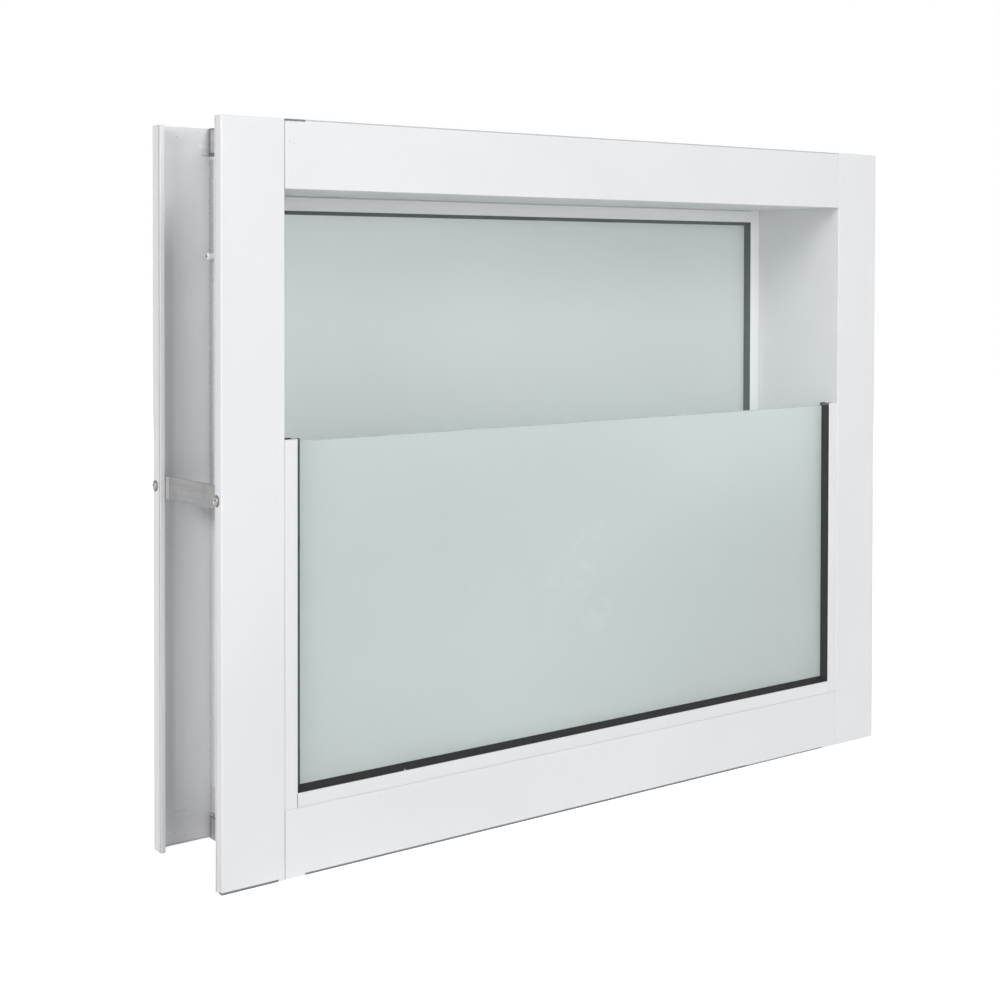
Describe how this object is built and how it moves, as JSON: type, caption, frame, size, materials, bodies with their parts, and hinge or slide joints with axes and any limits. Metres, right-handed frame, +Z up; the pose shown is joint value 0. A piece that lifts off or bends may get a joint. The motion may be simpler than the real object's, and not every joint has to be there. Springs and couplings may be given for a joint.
{
  "type": "sliding hatch window for a sandwich wall panel",
  "caption": "White aluminium hatch window with a full frosted rear pane, a lower front pane and an outward channel that grips a wall panel.",
  "frame": {"origin": "centre of the bottom of the window, halfway through its depth", "axes": "+X to the right seen from the room side, +Y from the room side to the rear, +Z up"},
  "size_m": [0.74, 0.126, 0.6],
  "materials": {
    "frame_white": "white powder coat, satin",
    "bead_white": "white powder coat, satin",
    "mill_aluminium": "mill finish",
    "frosted_glass": "frosted, pale green grey",
    "black_rubber": "black glazing rubber, matt",
    "block_plastic": "plain"
  },
  "bodies": {
    "root": {"bottom_left_cleat": "mill_aluminium", "bottom_right_cleat": "mill_aluminium", "front_bottom_bead": "bead_white", "front_bottom_flat_gasket": "black_rubber", "front_bottom_rail": "frame_white", "front_bottom_wedge_gasket": "black_rubber", "front_left_bead": "bead_white", "front_left_flat_gasket": "black_rubber", "front_left_stile": "frame_white", "front_left_wedge_gasket": "black_rubber", "front_pane": "frosted_glass", "front_right_bead": "bead_white", "front_right_flat_gasket": "black_rubber", "front_right_stile": "frame_white", "front_right_wedge_gasket": "black_rubber", "front_setting_blocks": "block_plastic", "front_top_rail": "frame_white", "left_spacer_bar": "mill_aluminium", "rear_bottom_bead": "bead_white", "rear_bottom_flat_gasket": "black_rubber", "rear_bottom_rail": "frame_white", "rear_bottom_wedge_gasket": "black_rubber", "rear_left_bead": "bead_white", "rear_left_flat_gasket": "black_rubber", "rear_left_stile": "frame_white", "rear_left_wedge_gasket": "black_rubber", "rear_pane": "frosted_glass", "rear_right_bead": "bead_white", "rear_right_flat_gasket": "black_rubber", "rear_right_stile": "frame_white", "rear_right_wedge_gasket": "black_rubber", "rear_setting_blocks": "block_plastic", "rear_top_bead": "bead_white", "rear_top_flat_gasket": "black_rubber", "rear_top_rail": "frame_white", "rear_top_wedge_gasket": "black_rubber", "right_spacer_bar": "mill_aluminium", "top_left_cleat": "mill_aluminium", "top_right_cleat": "mill_aluminium"}
  },
  "joints": []
}
